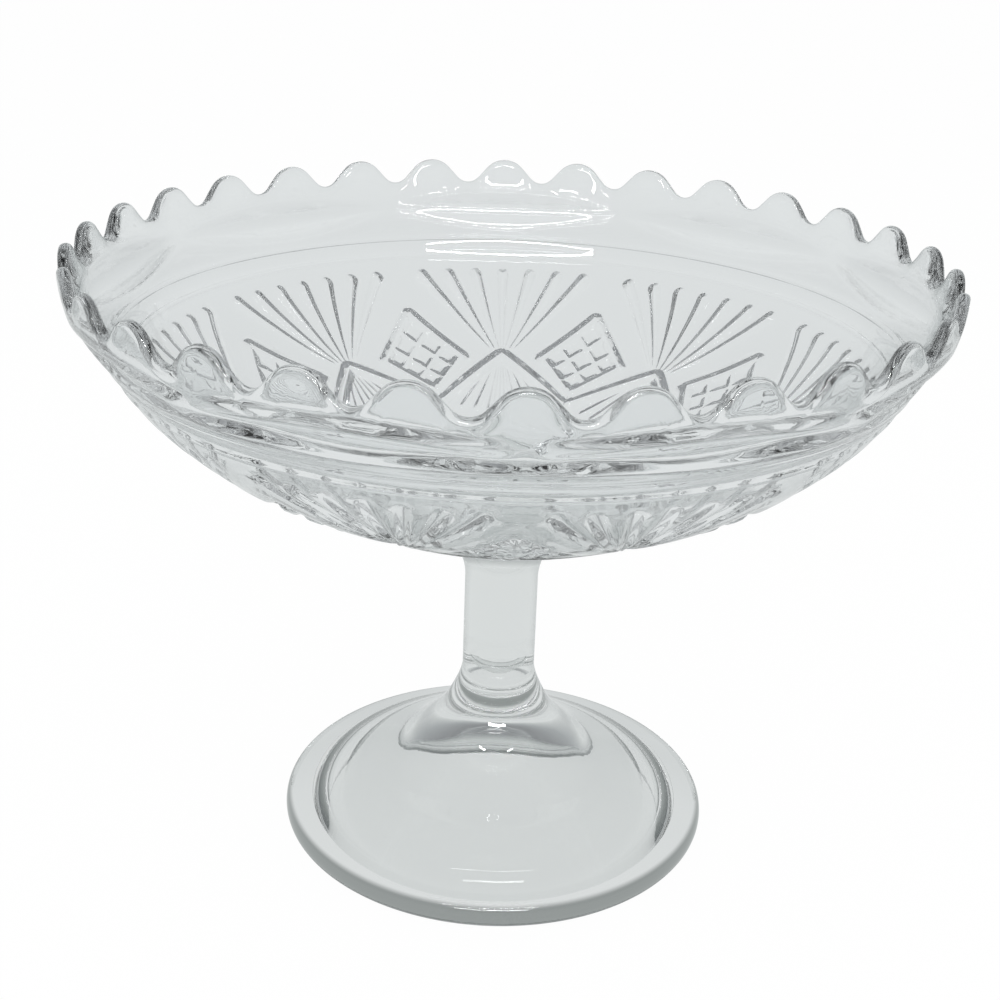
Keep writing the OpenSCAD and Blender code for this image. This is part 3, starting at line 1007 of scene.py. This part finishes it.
class MakeFoot(bpy.types.Operator):
    """Makes the domed foot with its hollow underside"""
    bl_idname = "glass_bowl.make_foot"
    bl_label = "Make the foot"

    def execute(self, context):
        _, glass, joint = get_materials(context.scene)
        sizes = context.scene.foot_sizes
        high, stem, wide = FOOT_HIGH.z / MM, STEM_HIGH.x / MM, FOOT_HIGH.x / MM
        spread = wide - stem
        over = sizes.overhang / MM
        ring_out = wide - over
        ring_in = ring_out - sizes.ring_width / MM
        edge = sizes.edge_height / MM
        hollow = sizes.hollow_width / MM / 2
        rise = (high - sizes.wall / MM) * UNDER_RISE
        roof = high * HOLLOW_TOP
        top = [(ring_out, 0)] + [(ring_out + a * over, b * edge) for a, b in EDGE_SHARES]
        top += [(stem + a * spread, b * high) for a, b in FOOT_TOP_SHARES]
        under = [(a * hollow, rise + b * (roof - rise)) for a, b in reversed(HOLLOW_SHARES)]
        under += [(ring_in + a * (hollow - ring_in), b * rise) for a, b in reversed(UNDER_SHARES)]
        under.append((ring_in, 0))
        ring = [(ring_in + (ring_out - ring_in) * t, 0) for t in RING_SHARES]
        upper = ring + dense(top, TOP_STEPS) + [(0, high)]
        outline = upper + dense(under, UNDER_STEPS, ())
        obj = turned("foot_glass", outline, (len(upper) - 2,), glass, joint, FOOT_ROUND)
        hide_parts("foot")
        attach(obj, "root")
        return {"FINISHED"}


def by_glass(tree, path):
    """The output of a node that is 1 for the rays that mirrors and glass send on."""
    either = add_node(tree, "ShaderNodeMath", operation="MAXIMUM")
    connect(tree, (path, "Is Glossy Ray", either, 0), (path, "Is Transmission Ray", either, 1))
    return either.outputs[0]


def bright_surface(name, share, shade, glow):
    """A matt surface with its own light: white to the camera, the glow in mirrors and through glass."""
    mat = bpy.data.materials.new(name)
    tree = empty_tree(mat)
    out = add_node(tree, "ShaderNodeOutputMaterial")
    matt = add_node(tree, "ShaderNodeBsdfDiffuse", {"Color": (*shade, 1)})
    light = add_node(tree, "ShaderNodeEmission", {"Color": (1, 1, 1, 1), "Strength": 1})
    dim = add_node(tree, "ShaderNodeEmission", {"Color": (*glow, 1), "Strength": 1})
    path = add_node(tree, "ShaderNodeLightPath")
    around = mixed(tree, by_glass(tree, path), matt, mixed(tree, share, matt, dim))
    seen = mixed(tree, path.outputs["Is Camera Ray"], around, mixed(tree, share, matt, light))
    connect(tree, (seen, 0, out, "Surface"))
    return mat


def make_world(scene):
    """A world that is white to the camera and a pale grey room to mirrors and through glass."""
    world = bpy.data.worlds.new("Pale room")
    scene.world = world
    tree = empty_tree(world)
    out = add_node(tree, "ShaderNodeOutputWorld")
    white = add_node(tree, "ShaderNodeBackground", {"Color": (1, 1, 1, 1), "Strength": 1})
    plain = add_node(tree, "ShaderNodeBackground", {"Color": (*ROOM_LIGHT, 1), "Strength": 1})
    room = add_node(tree, "ShaderNodeBackground", {"Strength": 1})
    place = add_node(tree, "ShaderNodeTexCoord")
    split = add_node(tree, "ShaderNodeSeparateXYZ")
    shift = add_node(tree, "ShaderNodeMath", {1: 0.5, 2: 0.5}, operation="MULTIPLY_ADD")
    ramp = add_node(tree, "ShaderNodeValToRGB")
    stops = ramp.color_ramp.elements
    stops.remove(stops[1])
    for i, (spot, colour) in enumerate(ROOM):
        stop = stops[0] if i == 0 else stops.new(spot)
        stop.position = spot
        stop.color = (*colour, 1)
    path = add_node(tree, "ShaderNodeLightPath")
    around = mixed(tree, by_glass(tree, path), plain, room)
    seen = mixed(tree, path.outputs["Is Camera Ray"], around, white)
    connect(
        tree, (place, "Generated", split, 0), (split, "Z", shift, 0), (shift, 0, ramp, "Fac"),
        (ramp, "Color", room, "Color"), (seen, 0, out, "Surface"))


def add_lamp(name, place, wide, high, power):
    data = bpy.data.lights.new(name, "AREA")
    data.shape = "RECTANGLE"
    data.size, data.size_y = wide, high
    data.energy = power
    obj = bpy.data.objects.new(name, data)
    obj.location = place
    obj.rotation_euler = (Vector(LAMP_AIM) - Vector(place)).to_track_quat("-Z", "Y").to_euler()
    bpy.context.scene.collection.objects.link(obj)


def make_camera(scene, look):
    """The camera of the photograph, turned about its line of sight and shifted as the photo is framed."""
    camera = bpy.data.objects.new("Camera", bpy.data.cameras.new("Camera"))
    scene.collection.objects.link(camera)
    camera.data.sensor_width = 36
    camera.data.lens = look.lens
    camera.data.clip_start, camera.data.clip_end = 0.01, 20
    drop, roll = look.camera_drop, look.camera_roll
    spin = Matrix.Rotation(look.camera_turn, 3, "Z")
    spot = spin @ Vector((0, -look.camera_distance, look.camera_height))
    forward = spin @ Vector((0, math.cos(drop), -math.sin(drop)))
    right = spin @ Vector((1, 0, 0))
    up = right.cross(forward)
    side = math.cos(roll) * right + math.sin(roll) * up
    top = -math.sin(roll) * right + math.cos(roll) * up
    turned_to = Matrix((side, top, -forward)).transposed()
    camera.matrix_world = Matrix.Translation(spot) @ turned_to.to_4x4()
    camera.data.shift_x = (PHOTO_WIDTH / 2 - PHOTO_AXIS[0]) / PHOTO_WIDTH
    camera.data.shift_y = (PHOTO_AXIS[1] - PHOTO_WIDTH / 2) / PHOTO_WIDTH
    scene.camera = camera


class MakeStage(bpy.types.Operator):
    """Makes the floor, the lamps, the surroundings and the camera"""
    bl_idname = "glass_bowl.make_stage"
    bl_label = "Make the stage"

    def execute(self, context):
        scene = context.scene
        mesh = bpy.data.meshes.new("floor")
        corners = [(x * FLOOR_REACH, y * FLOOR_REACH, 0) for x, y in ((-1, -1), (1, -1), (1, 1), (-1, 1))]
        mesh.from_pydata(corners, [], [(0, 1, 2, 3)])
        floor = new_object("floor", mesh)
        mesh.materials.append(bright_surface("Pale floor", FLOOR_GLOW_SHARE, FLOOR_COLOUR, FLOOR_GLOW))
        make_world(scene)
        for lamp in LAMPS:
            add_lamp(*lamp)
        make_camera(scene, scene.stage_look)
        scene.view_settings.view_transform = "Standard"
        scene.cycles.max_bounces = 40
        scene.cycles.transmission_bounces = 32
        scene.cycles.glossy_bounces = 12
        scene.cycles.transparent_max_bounces = 32
        scene.cycles.caustics_reflective = False
        scene.cycles.caustics_refractive = False
        return {"FINISHED"}


class BowlPanel(bpy.types.Panel):
    """Lists the sizes, the looks and the steps that build the bowl"""
    bl_idname = "VIEW3D_PT_glass_bowl"
    bl_label = "Glass bowl"
    bl_space_type = "VIEW_3D"
    bl_region_type = "UI"
    bl_category = "Glass bowl"

    def draw(self, context):
        layout = self.layout
        for step in STEPS:
            layout.operator(step.bl_idname)
        for group in (getattr(context.scene, name) for name in GROUPS):
            box = layout.box()
            for name in group.bl_rna.properties.keys():
                if name not in ("rna_type", "name"):
                    box.prop(group, name)


GROUPS = {"bowl_sizes": BowlSizes, "foot_sizes": FootSizes, "glass_look": GlassLook, "stage_look": StageLook}
STEPS = (MakeBowl, MakeCollar, MakeStem, MakeFoot, MakeStage)


def register():
    for name, group in GROUPS.items():
        bpy.utils.register_class(group)
        setattr(bpy.types.Scene, name, bpy.props.PointerProperty(type=group))
    for cls in (*STEPS, BowlPanel):
        bpy.utils.register_class(cls)


def unregister():
    for cls in (BowlPanel, *reversed(STEPS)):
        bpy.utils.unregister_class(cls)
    for name, group in GROUPS.items():
        delattr(bpy.types.Scene, name)
        bpy.utils.unregister_class(group)


def main():
    register()
    bpy.ops.glass_bowl.make_bowl()
    bpy.ops.glass_bowl.make_collar()
    bpy.ops.glass_bowl.make_stem()
    bpy.ops.glass_bowl.make_foot()
    bpy.ops.glass_bowl.make_stage()


if __name__ == "__main__":
    main()
